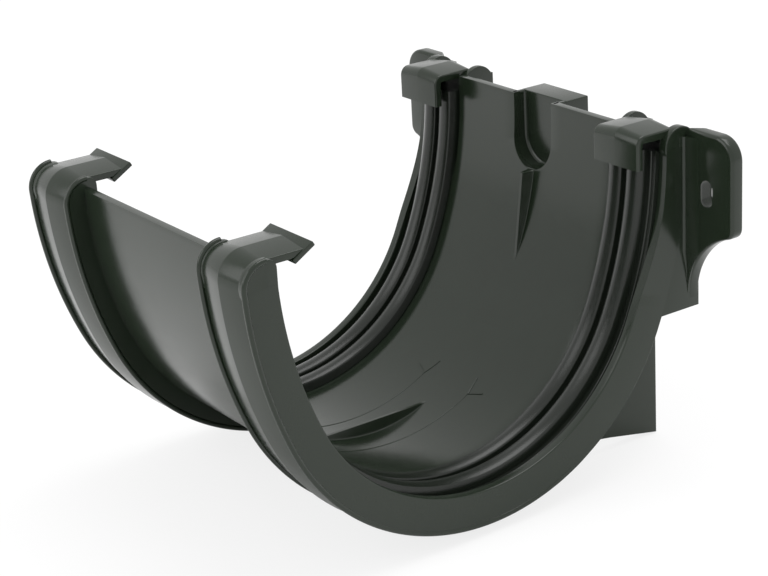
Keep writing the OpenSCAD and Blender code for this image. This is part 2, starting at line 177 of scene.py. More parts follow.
def swept(section, route, x=0.0, side=1.0):
    """Grid of a closed section of (d, x) carried along a run: place + d * outward, x along X."""
    places, outs, floors = route
    d = np.maximum(section[None, :, 0], floors[:, None])
    yh = places[:, None] + d[..., None] * outs[:, None]
    across = np.broadcast_to(x + side * section[None, :, 1], d.shape)
    return np.concatenate([across[..., None], yh], 2)


SECTION_LEAN = math.degrees(BLEND)


def section_run(front_h, rear_h, turn=False, steps=64):
    """The section's line from a height on the front side, round the bottom, to one at the rear."""
    front, rear = math.degrees(lean(front_h)), math.degrees(lean(rear_h))
    parts = [
        arc(SIDE_CY, SIDE_CH, SIDE_R, 180 + front, 270 - SECTION_LEAN, steps // 2),
        arc(0, BOTTOM_R, BOTTOM_R, 270 - SECTION_LEAN, 270 + SECTION_LEAN, steps * 2),
        arc(-SIDE_CY, SIDE_CH, SIDE_R, 270 + SECTION_LEAN, 360 - rear, steps // 2),
    ]
    if turn:
        parts.insert(0, arc(-FRONT_TIP_Y, FRONT_TIP_H, -AXIS_D, 90, 180 + front, 24))
    return run(*parts)


# Meshes

def to_metres(points):
    """From (x, across, height) of the section in millimetres to the shared frame in metres."""
    return (points - np.array([0.0, FASCIA_Y, SLOT_H])) * 0.001


def body(name, points, faces, finish, smooth=32.0, body_name="root"):
    """Mesh of points and faces with smooth shading up to an angle, riding on its body."""
    mesh = bpy.data.meshes.new(name)
    mesh.from_pydata(to_metres(points).tolist(), [], faces)
    work = bmesh.new()
    work.from_mesh(mesh)
    bmesh.ops.remove_doubles(work, verts=work.verts, dist=2e-6)
    bmesh.ops.dissolve_degenerate(work, edges=work.edges, dist=1e-6)
    bmesh.ops.recalc_face_normals(work, faces=work.faces)
    work.to_mesh(mesh)
    work.free()
    mesh.shade_smooth()
    mesh.set_sharp_from_angle(angle=math.radians(smooth))
    thing = bpy.data.objects.new(name, mesh)
    bpy.context.scene.collection.objects.link(thing)
    mesh.materials.append(finish)
    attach(thing, body_name)
    return thing


def grid_faces(rows, cols, wrap=True, start=0):
    """Four-sided faces of a grid of points, closed round each row where wrap is true."""
    i, j = np.meshgrid(np.arange(rows - 1), np.arange(cols if wrap else cols - 1), indexing="ij")
    k = (j + 1) % cols
    quads = np.stack([i * cols + j, i * cols + k, (i + 1) * cols + k, (i + 1) * cols + j], -1)
    return (quads.reshape(-1, 4) + start).tolist()


def bar(name, grid, finish, **more):
    """Closed solid from a grid of closed loops, with both end loops filled."""
    rows, cols = grid.shape[:2]
    faces = grid_faces(rows, cols)
    faces += [list(range(cols))[::-1], list(range((rows - 1) * cols, rows * cols))]
    return body(name, grid.reshape(-1, 3), faces, finish, **more)


def rounded_steps(low, high, edge_low, edge_high, n=4):
    """Stations through a plate's thickness and how far its outline draws in at each."""
    a = np.linspace(0, math.pi / 2, n + 1)
    t_low, in_low = low + edge_low * (1 - np.cos(a)), edge_low * (1 - np.sin(a))
    t_high, in_high = high - edge_high * (1 - np.cos(a)), edge_high * (1 - np.sin(a))
    first = (t_low, in_low) if edge_low else (t_low[:1], in_low[:1])
    last = (t_high[::-1], in_high[::-1]) if edge_high else (t_high[:1], in_high[:1])
    return np.concatenate([first[0], last[0]]), np.concatenate([first[1], last[1]])


ORDER = {"x": (2, 0, 1), "y": (0, 2, 1), "h": (0, 1, 2)}


def prism(name, outlines, low, high, axis, finish, edge=0.3, edge_low=None, edge_high=None,
          hole_share=1.0, **more):
    """Plate of an outline and its holes between two stations, its rims rounded by edge."""
    edge_low = edge if edge_low is None else edge_low
    edge_high = edge if edge_high is None else edge_high
    at, inset = rounded_steps(low, high, edge_low, edge_high)
    points, faces, first_rows, last_rows = [], [], [], []
    start = 0
    for index, outline in enumerate(outlines):
        loop = tidy(np.asarray(outline, float))
        sign = 1 if index == 0 else -hole_share
        rows = np.stack([shrunk(loop, sign * by) for by in inset])
        flat = np.concatenate([rows, np.broadcast_to(at[:, None, None], rows.shape[:2] + (1,))], 2)
        points.append(flat.reshape(-1, 3))
        faces += grid_faces(len(at), len(loop), start=start)
        first_rows.append((start, rows[0]))
        start += len(at) * len(loop)
        last_rows.append((start - len(loop), rows[-1]))
    for caps in (first_rows, last_rows):
        numbers = np.concatenate([np.arange(len(loop)) + first for first, loop in caps])
        loops = [[Vector((p[0], p[1], 0)) for p in loop] for _, loop in caps]
        faces += [[int(numbers[i]) for i in triangle] for triangle in tessellate_polygon(loops)]
    flat = np.concatenate(points)[:, list(ORDER[axis])]
    return body(name, flat, faces, finish, **more)


# Finishes: a socket wrapper, so that shader maths reads as expressions

class Sum:
    """A value in a material that adds its own Math nodes when it is used in an expression."""

    def __init__(self, shader, socket):
        self.shader, self.socket = shader, socket

    def maths(self, operation, *values, clamp=False):
        node = self.shader.node("ShaderNodeMath", {"operation": operation, "use_clamp": clamp},
                                dict(enumerate(values)))
        return Sum(self.shader, node.outputs[0])

    def __add__(self, other):
        return self.maths("ADD", self, other)

    def __sub__(self, other):
        return self.maths("SUBTRACT", self, other)

    def __rsub__(self, other):
        return self.maths("SUBTRACT", other, self)

    def __mul__(self, other):
        return self.maths("MULTIPLY", self, other)

    __radd__, __rmul__ = __add__, __mul__


class Shader:
    """A material's node tree with one method that adds any node."""

    def __init__(self, name):
        self.material = bpy.data.materials.new(name)
        self.material.use_nodes = True
        self.tree = self.material.node_tree
        self.tree.nodes.clear()
        self.out = self.node("ShaderNodeOutputMaterial", {}, {})
        self.place = Sum(self, self.node("ShaderNodeTexCoord", {}, {}).outputs["Object"])

    def node(self, kind, settings, inputs):
        """Adds a node, makes its settings, then fills its sockets with values or links."""
        made = self.tree.nodes.new(kind)
        for key, value in settings.items():
            setattr(made, key, value)
        for key, value in inputs.items():
            if isinstance(value, Sum):
                self.tree.links.new(value.socket, made.inputs[key])
            else:
                made.inputs[key].default_value = value
        return made

    def noise(self, scale, detail=3.0, rough=0.5, stretch=(1, 1, 1)):
        """Noise from 0 to 1 on the object's own coordinates, scale in cycles per metre."""
        at = self.node("ShaderNodeMapping", {}, {"Vector": self.place, "Scale": stretch})
        made = self.node("ShaderNodeTexNoise", {"noise_dimensions": "3D"}, {
            "Vector": Sum(self, at.outputs[0]), "Scale": scale, "Detail": detail,
            "Roughness": rough})
        return Sum(self, made.outputs["Fac"])

    def mix(self, factor, first, second):
        """Colour between two colours."""
        made = self.node("ShaderNodeMix", {"data_type": "RGBA"}, {0: factor, 6: first, 7: second})
        return Sum(self, made.outputs[2])

    def bump(self, height, distance, strength=1.0):
        made = self.node("ShaderNodeBump", {}, {
            "Height": height, "Distance": distance, "Strength": strength})
        return Sum(self, made.outputs[0])

    def finish(self, shader, socket=0):
        self.tree.links.new(shader.outputs[socket], self.out.inputs["Surface"])
        return self.material


def moulded(name, dark, light, rough, grain):
    """Injection-moulded plastic: faint flow clouding, fine satin grain, patchy sheen."""
    s = Shader(name)
    flow = s.noise(38.0, 4.0, 0.6, (0.5, 1.0, 1.0))
    cloud = s.noise(190.0, 3.0, 0.55)
    fine = s.noise(2600.0, 2.0, 0.6)
    colour = s.mix(flow * 0.6 + cloud * 0.4, dark, light)
    roughness = (flow - 0.5) * 0.12 + (cloud - 0.5) * 0.08 + (fine - 0.5) * 0.05 + rough
    height = fine * 0.35 + cloud * 0.65
    return s.finish(s.node("ShaderNodeBsdfPrincipled", {}, {
        "Base Color": colour, "Roughness": roughness, "IOR": 1.43,
        "Normal": s.bump(height, grain)}))


def rubber(name, dark, light, rough):
    """Extruded rubber: bloom that lightens it in patches, and a dull fine grain."""
    s = Shader(name)
    bloom = s.noise(70.0, 4.0, 0.65, (1.0, 0.6, 0.6))
    fine = s.noise(3200.0, 2.0, 0.6)
    return s.finish(s.node("ShaderNodeBsdfPrincipled", {}, {
        "Base Color": s.mix(bloom, dark, light),
        "Roughness": (bloom - 0.5) * 0.14 + (fine - 0.5) * 0.08 + rough, "IOR": 1.42,
        "Normal": s.bump(fine, 0.00004)}))


BODY_FINISH = moulded("anthracite_moulding", (0.0090, 0.0145, 0.0082, 1), (0.0135, 0.0205, 0.0122, 1),
                      0.19, 0.00003)
SEAL_FINISH = rubber("seal_rubber", (0.0062, 0.0088, 0.0060, 1), (0.0110, 0.0140, 0.0102, 1), 0.22)


# Ring

def ring_section():
    """Closed (d, x) outline of a ring: beads, grooves, ridged roof, cheeks and seal channel."""
    a = np.radians(np.linspace(150, -90, 17))
    bead = np.stack([CORD_D + CORD_R * np.cos(a), CORD_X + CORD_R * np.sin(a)], 1)
    wall = CORD_X - CORD_R
    top = fillet([
        (CORD_D, wall), (GROOVE_FLOOR, wall), (GROOVE_FLOOR, ROOF_END), (ROOF_LOW, ROOF_END),
        (ROOF_LOW + ROOF_SLOPE, 0), (ROOF_LOW, -ROOF_END), (GROOVE_FLOOR, -ROOF_END),
        (GROOVE_FLOOR, -wall), (CORD_D, -wall), (-5, -wall), (-5, wall)],
        [0, .15, .15, .25, .9, .25, .15, .15, 0, 0, 0])
    top = top[6:-18]
    under = CORD_D + CORD_R * math.cos(a[0])
    low = fillet([
        (under, -RING_HALF), (TROUGH_BACK, -RING_HALF), (TROUGH_BACK, -CHANNEL_IN),
        (CHANNEL_FLOOR, -CHANNEL_IN), (CHANNEL_FLOOR, CHANNEL_OUT), (0, CHANNEL_OUT),
        (0, RING_HALF), (under, RING_HALF)],
        [0, .4, .4, .3, .3, .45, .45, 0])
    low = low[6:-6]
    flipped = bead[::-1] * np.array([1, -1])
    return tidy(np.concatenate([bead, top, flipped, low]))


def front_tip_outline():
    """Cheek's front end: a round of the tip radius outside, a small round at the inner corner."""
    inner = side_y(FRONT_TIP_H, 0)
    r = FRONT_TIP_R - 0.02
    a = np.radians(np.linspace(180, 90, 25))
    turn = np.stack([-FRONT_TIP_Y + r * np.cos(a), FRONT_TIP_H + r * np.sin(a)], 1)
    corner_y, corner_h = -inner - FRONT_CORNER_R, FRONT_TIP_H + r - FRONT_CORNER_R
    a = np.radians(np.linspace(90, 0, 13))
    corner = np.stack([corner_y + FRONT_CORNER_R * np.cos(a), corner_h + FRONT_CORNER_R * np.sin(a)], 1)
    low = np.array([(-inner, FRONT_TIP_H - 4), (-FRONT_TIP_Y - r + 0.6, FRONT_TIP_H - 4)])
    return np.concatenate([turn, corner, low])[::-1]


def circle(cu, cv, r, n=64):
    """Closed round outline."""
    a = np.linspace(0, 2 * math.pi, n, endpoint=False)
    return np.stack([cu + r * np.cos(a), cv + r * np.sin(a)], 1)


def hook_run():
    """Inner face of the hook: up the lip, over the top and down the rear leg."""
    lip_y = MOUTH_W / 2 - HOOK_REACH
    front_y = lip_y + HOOK_FRONT_R
    leg_y = MOUTH_W / 2 + ROOF_EDGE - HOOK_INSET
    back_y = leg_y - HOOK_REAR_R
    return run(
        straight(lip_y + HOOK_T, LIP_LOW_H, lip_y + HOOK_T, HOOK_TOP_H - HOOK_FRONT_R, (-1, 0)),
        arc(front_y, HOOK_TOP_H - HOOK_FRONT_R, HOOK_FRONT_R - HOOK_T, 180, 90, 10),
        straight(front_y, HOOK_TOP_H - HOOK_T, back_y, HOOK_TOP_H - HOOK_T, (0, 1)),
        arc(back_y, HOOK_TOP_H - HOOK_REAR_R, HOOK_REAR_R - HOOK_T, 90, 0, 10),
        straight(leg_y - HOOK_T, HOOK_TOP_H - HOOK_REAR_R, leg_y - HOOK_T, REAR_TIP_H - 0.4, (1, 0)))


def ear_outline():
    """Ear seen from the front, as (x, height), from inside the ring's outer web."""
    edge_x, sweep_h = RING_X + RING_HALF, WEB_LOW_H + 2.6
    sweep_x, corner_x = edge_x + EAR_SWEEP_R, EAR_X - EAR_LOW_R
    reach = EAR_SWEEP_R + EAR_LOW_R
    rise = math.sqrt(reach ** 2 - (sweep_x - corner_x) ** 2)
    touch = math.degrees(math.atan2(rise, corner_x - sweep_x))
    a = np.radians(np.linspace(180, touch, 41))
    hollow = np.stack([sweep_x + EAR_SWEEP_R * np.cos(a), sweep_h + EAR_SWEEP_R * np.sin(a)], 1)
    a = np.radians(np.linspace(touch - 180, 0, 11))
    low = np.stack([corner_x + EAR_LOW_R * np.cos(a), sweep_h + rise + EAR_LOW_R * np.sin(a)], 1)
    a = np.radians(np.linspace(0, 90, 19))
    top_x, top_h = EAR_X - EAR_TOP_R, EAR_TOP_H - EAR_TOP_R
    top = np.stack([top_x + EAR_TOP_R * np.cos(a), top_h + EAR_TOP_R * np.sin(a)], 1)
    root = EAR_START_X
    ends = np.array([(root + 0.6, EAR_TOP_H), (root, EAR_TOP_H - 0.6), (root, sweep_h)])
    return np.concatenate([hollow, low, top, ends])


def slot_outline():
    """Round-ended upright slot."""
    a = np.radians(np.linspace(0, 180, 17))
    top = np.stack([SLOT_W / 2 * np.cos(a), (SLOT_LEN - SLOT_W) / 2 + SLOT_W / 2 * np.sin(a)], 1)
    return np.concatenate([top, -top]) + np.array([SLOT_X, SLOT_H])


def web_outline(low_h, d):
    """Fill between the ring's outer wall and the fascia, as (y, height)."""
    h = np.linspace(low_h, SIDE_CH, 40)
    wall = np.stack([side_y(h, d), h], 1)
    return np.concatenate([wall, [(wall[-1, 0], WEB_TOP_H), (FASCIA_Y, WEB_TOP_H), (FASCIA_Y, low_h)]])


def foot_outline(d):
    """Foot web: from under the ring to the fascia, its front against the ring's wall."""
    a = np.radians(np.linspace(270, 270 + SECTION_LEAN, 60))
    bottom = np.stack([(BOTTOM_R + d) * np.cos(a), BOTTOM_R + (BOTTOM_R + d) * np.sin(a)], 1)
    side = web_outline(BOTTOM_R * (1 - math.cos(BLEND)) + 0.5, d)[:-1]
    keep = bottom[bottom[:, 1] > -4.6]
    heel = [(FASCIA_Y, -FOOT_DROP), (FASCIA_Y - FOOT_TURN_Y, FOOT_TURN_RISE - FOOT_DROP),
            (MOUTH_W / 4, -4.65)]
    return np.concatenate([keep, side, heel])


def mirrored(outline, side):
    """Outline of (x, ...) on the side that is 1 or -1, turned the same way round."""
    return outline if side > 0 else (outline * np.array([-1, 1]))[::-1]


def slab(name, outline, x_a, x_b, side, **more):
    """Plate across the run between two distances from a ring's middle, on one side."""
    a, b = side * (RING_X + x_a), side * (RING_X + x_b)
    return prism(name, [outline], min(a, b), max(a, b), "x", BODY_FINISH, **more)


def eased(places, low_h, high_h):
    """From 0 to 1 with a soft start and end between two heights on the rear side, 0 at the front."""
    t = np.clip((places[:, 1] - low_h) / (high_h - low_h), 0, 1) * (places[:, 0] > 0)
    return t * t * (3 - 2 * t)


def slanted(ear, side):
    """Ear's inner end cut on a slant: each point there moves outward with its depth from the front."""
    count = len(ear.data.vertices)
    at = np.empty(count * 3)
    ear.data.vertices.foreach_get("co", at)
    at = at.reshape(-1, 3)
    inner = (side * at[:, 0] < (EAR_START_X + 1) * 0.001) & (at[:, 2] > 0)
    depth = at[:, 1] + EAR_T * 0.001
    at[:, 0] += np.where(inner, side * EAR_SLANT * depth, 0)
    ear.data.vertices.foreach_set("co", at.ravel())


def ear_root(name, side):
    """Fill along the ear's root: small hollow round, then a taper, narrowing towards its foot."""
    h = np.linspace(WEB_LOW_H + 4.5, WEB_TOP_H - .1, 60)
    rise = np.minimum(h - WEB_LOW_H - 2.6, EAR_SWEEP_R)
    reach = np.minimum(EAR_ROOT_X, 0.85 * (EAR_SWEEP_R - np.sqrt(EAR_SWEEP_R ** 2 - rise ** 2)))
    deep = EAR_ROOT_Y * reach / EAR_ROOT_X
    a = np.radians(np.linspace(180, 90, 17))
    edge, front = RING_X + RING_HALF - 0.02, FASCIA_Y - EAR_T
    r = (EAR_ROOT_R * reach / EAR_ROOT_X)[:, None]
    reach, deep, zero = reach[:, None], deep[:, None], 0 * h[:, None]
    across = np.concatenate([r * (1 + np.cos(a)), reach, reach, zero - 1, zero - 1], 1)
    depth = np.concatenate([r * np.sin(a) - deep, zero, zero + 1, zero + 1, -deep], 1)
    grid = np.stack([side * (edge + across), front + depth, h[:, None] + 0 * depth], 2)
    return bar(name, grid, BODY_FINISH, smooth=40)


def ring(side):
    """All of one ring's pieces: ring, cheek ends, clip, hook, webs and ear."""
    tag = "right_" if side > 0 else "left_"
    x = side * RING_X
    made = []
    places, outs, floors = section_run(FRONT_TIP_H, REAR_TIP_H, turn=True)
    lift = CHEEK_LIFT * eased(places, *CHEEK_LIFT_H)
    route = places, outs, np.where(lift > 0, np.maximum(floors, lift), floors)
    grid = swept(ring_section(), route, x, side)
    flush = 10.5 - 0.5 * eased(places, *CORD_END_H)[:, None]
    grid[..., 0] = x + side * np.minimum(side * (grid[..., 0] - x), flush)
    made.append(bar(tag + "ring", grid, BODY_FINISH))
    tip = front_tip_outline()
    inner_end = circle(REAR_CHEEK_IN_Y, REAR_TIP_H, REAR_CHEEK_R)
    outer_end = circle(REAR_CHEEK_OUT_Y, REAR_TIP_H, REAR_CHEEK_R)
    for word, x_a, x_b, end in (("inner", -RING_HALF, -CHANNEL_IN, inner_end),
                                ("outer", CHANNEL_OUT, RING_HALF, outer_end)):
        made.append(slab(tag + word + "_front_cheek", tip, x_a + 0.02, x_b - 0.02, side))
        made.append(slab(tag + word + "_rear_cheek", end, x_a + 0.02, x_b - 0.02, side))
    top = FRONT_TIP_H + ROOF_LOW - AXIS_D
    half = ROOF_END
    strap = fillet([(0, -half), (STRAP_T, -half), (STRAP_T + ROOF_SLOPE, 0), (STRAP_T, half), (0, half)],
                   [.3, .3, .9, .3, .3])
    along = straight(-FRONT_TIP_Y - 0.3, top - STRAP_T, STRAP_REACH - FRONT_TIP_Y, top - STRAP_T, (0, 1))
    made.append(bar(tag + "strap", swept(strap, along, x, side), BODY_FINISH))
    c, s = math.cos(math.radians(PLATE_A)), math.sin(math.radians(PLATE_A))
    flat = fillet(np.array([(-1, -1), (1, -1), (1, 1), (-1, 1)]) * (PLATE_LEN / 2, PLATE_T / 2), .25)
    plate = flat @ np.array([(c, s), (-s, c)]) + (STRAP_REACH - FRONT_TIP_Y, top - STRAP_T / 2)
    made.append(prism(tag + "barb", [plate], x - PLATE_W / 2, x + PLATE_W / 2, "x", BODY_FINISH, edge=.25))
    half = HOOK_W / 2
    route = hook_run()
    flat_lip, ridged = (swept(fillet([(0, -half), (HOOK_T, -half), (HOOK_T + rise, 0), (HOOK_T, half),
                                      (0, half)], [.35, .5, 1.5, .5, .35]), route, x, side)
                        for rise in (0.05, HOOK_RISE))
    ridge = np.clip((route[1][:, 1] - 0.2) / 0.8 + (route[1][:, 0] > 0), 0, 1)[:, None, None]
    made.append(bar(tag + "hook", flat_lip + ridge * (ridged - flat_lip), BODY_FINISH))
    root = (CHANNEL_FLOOR + GROOVE_FLOOR) / 2
    made.append(slab(tag + "outer_web", web_outline(WEB_LOW_H, root), CHANNEL_OUT + .03, RING_HALF - .005,
                     side, edge=0.05))
    made.append(slab(tag + "foot_web", foot_outline(root), .03 - RING_HALF, FOOT_T - RING_HALF, side))
    ear = prism(tag + "ear", [mirrored(ear_outline(), side), mirrored(slot_outline(), side)],
                FASCIA_Y - EAR_T, FASCIA_Y, "y", BODY_FINISH, edge=1.0, edge_high=.7, hole_share=.3)
    slanted(ear, side)
    made.append(ear)
    made.append(ear_root(tag + "ear_root", side))
    return made


# Trough, pocket and stops

def trough():
    """Inner face of the trough over (x, length round the section) with the pocket's notch left out."""
    r = POCKET_W / 2
    low_a = math.degrees(lean(POCKET_LOW_H - 2.0))
    base = run(
        arc(SIDE_CY, SIDE_CH, SIDE_R, 180 + math.degrees(lean(FRONT_RIM_H)), 270 - SECTION_LEAN, 32),
        arc(0, BOTTOM_R, BOTTOM_R, 270 - SECTION_LEAN, 270 + SECTION_LEAN, 128),
        arc(-SIDE_CY, SIDE_CH, SIDE_R, 270 + SECTION_LEAN, 360 - low_a, 28))
    across = np.concatenate([np.linspace(-TROUGH_HALF, -r, 7)[:-1], r * np.sin(np.radians(np.linspace(
        -90, 90, 33))), np.linspace(r, TROUGH_HALF, 7)[1:]])

    def wall(height):
        """Place on the inner face at a height on the rear side, upright above the side's centre."""
        h = np.asarray(height, float)
        y = np.where(h < SIDE_CH, side_y(np.minimum(h, SIDE_CH), TROUGH_BACK),
                     MOUTH_W / 2 + TROUGH_BACK)
        return np.stack([y, h], -1)

    low = np.concatenate([across[None, :, None] + 0 * base[0][:, :1, None],
                          np.broadcast_to((base[0] + TROUGH_BACK * base[1])[:, None],
                                          (len(base[0]), len(across), 2))], 2)
    points, faces = [low.reshape(-1, 3)], grid_faces(low.shape[0], low.shape[1], wrap=False)
    count = low.shape[0] * low.shape[1]
    start_h = low[-1, 0, 2]
    t = np.linspace(0, 1, 7)[:, None]
    arch = np.sqrt(np.maximum(r * r - across ** 2, 0))
    ceiling = np.where(np.abs(across) <= r + 1e-9, POCKET_LOW_H + r - arch, POCKET_LOW_H + r)
    h = start_h + (ceiling[None] - start_h) * t
    middle = np.concatenate([np.broadcast_to(across[None, :, None], h.shape + (1,)), wall(h)], 2)
    points.append(middle.reshape(-1, 3))
    faces += grid_faces(middle.shape[0], middle.shape[1], wrap=False, start=count)
    count += middle.shape[0] * middle.shape[1]
    for part in (across[across < -r + 1e-9], across[across > r - 1e-9]):
        t = np.linspace(0, 1, 9)[:, None]
        h = (POCKET_LOW_H + r) * (1 - t) + REAR_RIM_H * t + 0 * part[None]
        top = np.concatenate([np.broadcast_to(part[None, :, None], h.shape + (1,)), wall(h)], 2)
        points.append(top.reshape(-1, 3))
        faces += grid_faces(top.shape[0], top.shape[1], wrap=False, start=count)
        count += top.shape[0] * top.shape[1]
    made = body("trough", np.concatenate(points), faces, BODY_FINISH)
    outward = made.data.polygons[0].normal.y < 0
    wall_up = made.modifiers.new("wall", "SOLIDIFY")
    wall_up.thickness, wall_up.offset = TROUGH_WALL * 0.001, 1.0 if outward else -1.0
    wall_up.use_even_offset = True
    soft = made.modifiers.new("rims", "BEVEL")
    soft.width, soft.segments, soft.limit_method = 0.00055, 4, "ANGLE"
    soft.angle_limit = math.radians(50)
    soft.harden_normals = False
    return made


def pocket():
    """Box round the level pocket: a notched front part and a hollow back part."""
    half, low, r = POCKET_W / 2 + POCKET_WALL, POCKET_LOW_H - POCKET_WALL, POCKET_W / 2 + 0.03
    a = np.radians(np.linspace(0, -180, 41))
    notch = np.stack([r * np.cos(a), POCKET_LOW_H + POCKET_W / 2 + r * np.sin(a)], 1)
    e = 0.35
    top = REAR_RIM_H
    outline = np.concatenate([
        [(-half, low), (half, low), (half, top - e), (half - e, top), (r + e, top), (r, top - e)],
        notch, [(-r, top - e), (-r - e, top), (e - half, top), (-half, top - e)]])
    back = FASCIA_Y - POCKET_BACK
    front = prism("pocket_front", [outline], MOUTH_W / 2 + 2.3, back, "y", BODY_FINISH, edge_low=0,
                  edge_high=0)
    core, floor_y, ceiling = r - POCKET_WALL / 2, back + TROUGH_WALL, REAR_RIM_H - TROUGH_WALL
    wall_y = FASCIA_Y - POCKET_WALL
    outer = fillet([(-half, back - .05), (half, back - .05), (half, FASCIA_Y), (-half, FASCIA_Y)],
                   [0, 0, .4, .4])
    hole = [(-core, floor_y), (core, floor_y), (core, wall_y), (-core, wall_y)]
    shell = prism("pocket_back", [outer, hole], low, ceiling, "h", BODY_FINISH, edge_low=.2, edge_high=0)
    lid = prism("pocket_lid", [outer], ceiling, top, "h", BODY_FINISH, edge_low=0, edge_high=.3)
    bend = np.radians(np.linspace(180, 360, 37))
    place = np.concatenate([[(-r, top - .4)], np.stack([
        r * np.cos(bend), POCKET_LOW_H + POCKET_W / 2 + r * np.sin(bend)], 1), [(r, top - .4)]])
    way = np.concatenate([[(1, 0)], -np.stack([np.cos(bend), np.sin(bend)], 1), [(-1, 0)]])
    turn = np.radians(np.linspace(180, 270, 9))
    fill_in = POCKET_FILLET * np.concatenate([[(-.3, -.3), (1, -.3)], 1 + np.stack([
        np.sin(turn), np.cos(turn)], 1)[::-1] * (1, 1), [(-.3, 1)]])
    flat = place[:, None] + fill_in[None, :, :1] * way[:, None]
    y = np.broadcast_to(back - fill_in[None, :, 1], flat.shape[:2])
    corner = bar("pocket_corner", np.stack([flat[..., 0], y, flat[..., 1]], 2), BODY_FINISH, smooth=40)
    return [front, shell, lid, corner]


def soft_max(a, b, width):
    """The larger of two values, rounded over within a width where they are close."""
    gap = a - b
    return np.where(np.abs(gap) >= width, np.maximum(a, b),
                    b + (gap + width) ** 2 / (4 * width))


def stop(name, centre, radius, angles, height, cap=None):
    """Ridge on the trough's inner face: flat crest, sloped sides and a soft root."""
    phi = np.radians(np.linspace(angles[0], angles[1], 181))
    t = np.linspace(-1, 1, 141)
    x = 4.0 * (0.7 * t ** 3 + 0.3 * t)
    rise = height(phi)
    slope = rise[:, None] - np.maximum(np.abs(x) - STOP_TOP_W / 2, 0)[None] / STOP_FLARE
    crest = soft_max(np.minimum(slope, rise[:, None]), 0 * slope, STOP_ROOT)
    if cap is not None:
        crest = crest * cap(phi)[:, None]
    edge = radius + 0.05 - crest
    y = centre[0] + edge * np.cos(phi)[:, None]
    h = centre[1] + edge * np.sin(phi)[:, None]
    grid = np.stack([np.broadcast_to(x[None], y.shape), y, h], 2)
    back = grid.copy()
    back[..., 1:] += 0.5 * np.stack([np.cos(phi), np.sin(phi)], 1)[:, None]
    rows, cols = y.shape
    faces = grid_faces(rows, cols, wrap=False) + grid_faces(rows, cols, wrap=False, start=rows * cols)
    rim = np.concatenate([np.arange(cols), np.arange(1, rows) * cols + cols - 1,
                          (rows - 1) * cols + np.arange(cols - 1)[::-1], np.arange(rows - 1)[:0:-1] * cols])
    after = np.roll(rim, -1)
    faces += np.stack([rim, after, after + rows * cols, rim + rows * cols], 1).tolist()
    return body(name, np.concatenate([grid.reshape(-1, 3), back.reshape(-1, 3)]), faces, BODY_FINISH,
                smooth=50)


def stops():
    """Stops across the bottom and up both sides, in the middle of the trough."""
    r_low, r_side = BOTTOM_R + TROUGH_BACK, SIDE_R + TROUGH_BACK
    made = [stop("bottom_stop", (0, BOTTOM_R), r_low, (270 - 24, 270 + 24),
                 lambda phi: r_low + (BOTTOM_R - STOP_H) / np.sin(phi))]
    tilt = math.radians(SIDE_STOP_A)
    n = np.array([math.cos(tilt), -math.sin(tilt)])
    for word, sign in (("rear_stop", 1), ("front_stop", -1)):
        depth = n @ (np.array(SIDE_STOP_AT) - np.array([-SIDE_CY, SIDE_CH]))

        def height(phi, sign=sign, depth=depth):
            out = np.stack([sign * np.cos(phi), np.sin(phi)], 0)
            return r_side - depth / (n @ out)

        def cap(phi, sign=sign):
            h = SIDE_CH + r_side * np.sin(phi)
            return np.clip((SIDE_STOP_TOP - h) / 0.7 + 0.5, 0, 1) ** 0.6

        top, low = math.degrees(lean(SIDE_STOP_TOP + 1)), SECTION_LEAN
        angles = (270 + low, 360 - top) if sign > 0 else (270 - low, 180 + top)
        made.append(stop(word, (-sign * SIDE_CY, SIDE_CH), r_side, angles, height, cap))
    return made


# Insertion lines inside the trough, with forked ends

def on_floor(x, across):
    """Points on the trough's round inner face from places along and across the run."""
    r = BOTTOM_R + TROUGH_BACK
    return np.stack([x, across, BOTTOM_R - np.sqrt(r * r - across ** 2)], 1)


def rib(name, x, across, width=0.42, proud=0.14):
    """Low half-round rib that follows places on the trough's inner face."""
    line = on_floor(np.asarray(x, float), np.asarray(across, float))
    out = line - np.array([0, 0, BOTTOM_R]) * 1.0
    out[:, 0] = 0
    out /= -np.linalg.norm(out, axis=1)[:, None]
    ahead = np.gradient(line, axis=0)
    aside = np.cross(ahead, out)
    aside /= np.linalg.norm(aside, axis=1)[:, None]
    a = np.radians(np.linspace(0, 180, 9))
    loop_u = np.concatenate([width / 2 * np.cos(a), [-width / 2, width / 2]])
    loop_v = np.concatenate([proud * np.sin(a), [-0.3, -0.3]])
    grid = line[:, None] + loop_u[None, :, None] * aside[:, None] + loop_v[None, :, None] * out[:, None]
    return bar(name, grid, BODY_FINISH, smooth=60)


def insertion_lines():
    made = []
    for tag, sign in (("right", 1), ("left", -1)):
        x = sign * LINE_X
        y = np.linspace(-26, 26, 60)
        t = np.linspace(0, 1, 8)
        made.append(rib(f"{tag}_line", x + 0 * y, y, width=0.35, proud=0.12))
        for word, way in (("front", -1), ("rear", 1)):
            for number, across, along in ((1, -1.6, 4.6), (2, 4.6, 1.6)):
                made.append(rib(f"{tag}_{word}_fork{number}", x + sign * across * t,
                                way * (26 + along * t), width=0.6, proud=0.2))
    return made


# Seals

